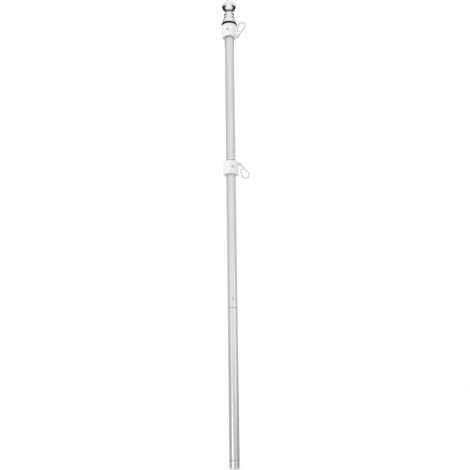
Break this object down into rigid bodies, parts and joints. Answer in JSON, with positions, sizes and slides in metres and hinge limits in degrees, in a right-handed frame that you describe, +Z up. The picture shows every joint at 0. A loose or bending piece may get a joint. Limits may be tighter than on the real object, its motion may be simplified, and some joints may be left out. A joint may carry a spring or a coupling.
{
  "type": "household flagpole",
  "caption": "Slim sectional tube flagpole with a turned ball finial and spinning white collars that carry pear-shaped snap clips for a flag.",
  "frame": {"origin": "centre of the foot's flat end face", "axes": "+Z up the pole along the tube's axis, +X towards the clips, -Y the front that the picture shows"},
  "size_m": [0.0726, 0.043, 1.2675],
  "materials": {
    "pole_aluminium": "satin anodised",
    "small_steel": "plain zinc plated",
    "white_nylon": "moulded, slight sheen",
    "finial_chrome": "polished chrome plate",
    "black_rubber": "moulded matt"
  },
  "bodies": {
    "pole": {"foot_ferrule": "pole_aluminium", "lower_tube": "pole_aluminium", "middle_tube": "pole_aluminium", "upper_tube": "pole_aluminium", "lower_spigot": "pole_aluminium", "upper_spigot": "pole_aluminium", "lower_snap_button": "small_steel", "upper_snap_button": "small_steel", "lower_bushing": "white_nylon", "upper_bushing": "white_nylon", "lower_keeper": "white_nylon", "upper_keeper": "white_nylon", "lower_set_screw": "white_nylon", "upper_set_screw": "white_nylon", "finial_washer": "black_rubber", "finial_base": "finial_chrome", "finial_neck": "finial_chrome", "finial_ball": "finial_chrome"},
    "lower_collar": {"lower_ring": "white_nylon", "lower_clip_pin": "small_steel"},
    "upper_collar": {"upper_ring": "white_nylon", "upper_clip_pin": "small_steel"},
    "lower_flag_clip": {"lower_clip": "white_nylon"},
    "upper_flag_clip": {"upper_clip": "white_nylon"}
  },
  "joints": [
    {"name": "lower_collar_spin", "type": "hinge", "parent": "pole", "child": "lower_collar", "pos_m": [0, 0, 0.771], "axis": [0, 0, 1], "continuous": true},
    {"name": "upper_collar_spin", "type": "hinge", "parent": "pole", "child": "upper_collar", "pos_m": [0, 0, 1.169], "axis": [0, 0, 1], "continuous": true},
    {"name": "lower_clip_swing", "type": "hinge", "parent": "lower_collar", "child": "lower_flag_clip", "pos_m": [0.0243, 0, 0.784], "axis": [0, -1, 0], "range_deg": [-9, 145]},
    {"name": "upper_clip_swing", "type": "hinge", "parent": "upper_collar", "child": "upper_flag_clip", "pos_m": [0.0243, 0, 1.1565], "axis": [0, 1, 0], "range_deg": [-2, 152]}
  ]
}
